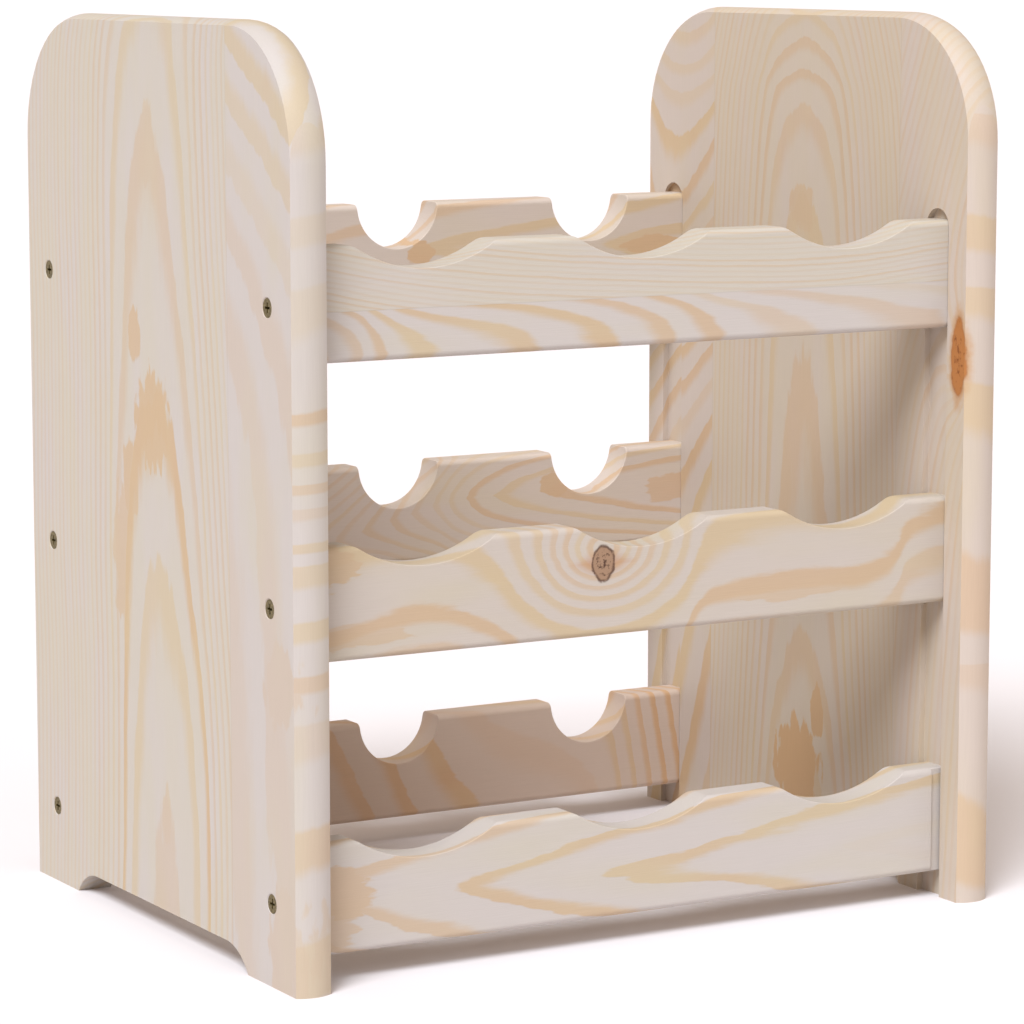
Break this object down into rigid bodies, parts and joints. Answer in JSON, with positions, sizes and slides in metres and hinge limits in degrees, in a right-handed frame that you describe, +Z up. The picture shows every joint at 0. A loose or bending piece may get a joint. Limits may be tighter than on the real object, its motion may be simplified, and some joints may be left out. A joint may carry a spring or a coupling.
{
  "type": "wine rack",
  "caption": "Free-standing wine rack in bare pine: shaped side panels on feet, scalloped front rails for bottle bodies and notched back rails for bottle necks.",
  "frame": {"origin": "on the floor, under the middle of the rack", "axes": "+X along the rails to the right side panel, +Y from the scalloped front to the notched back, +Z up"},
  "size_m": [0.3896, 0.3, 0.444],
  "materials": {
    "panel_pine": "bare planed edge-glued pine board",
    "rail_pine": "bare planed pine",
    "screw_zinc": "yellow zinc plated steel"
  },
  "bodies": {
    "root": {"side_panel_left": "panel_pine", "side_panel_right": "panel_pine", "front_rail_bottom": "rail_pine", "front_rail_middle": "rail_pine", "front_rail_top": "rail_pine", "back_rail_bottom": "rail_pine", "back_rail_middle": "rail_pine", "back_rail_top": "rail_pine", "screw_left_front_bottom": "screw_zinc", "screw_left_front_middle": "screw_zinc", "screw_left_front_top": "screw_zinc", "screw_left_back_bottom": "screw_zinc", "screw_left_back_middle": "screw_zinc", "screw_left_back_top": "screw_zinc", "screw_right_front_bottom": "screw_zinc", "screw_right_front_middle": "screw_zinc", "screw_right_front_top": "screw_zinc", "screw_right_back_bottom": "screw_zinc", "screw_right_back_middle": "screw_zinc", "screw_right_back_top": "screw_zinc"}
  },
  "joints": []
}
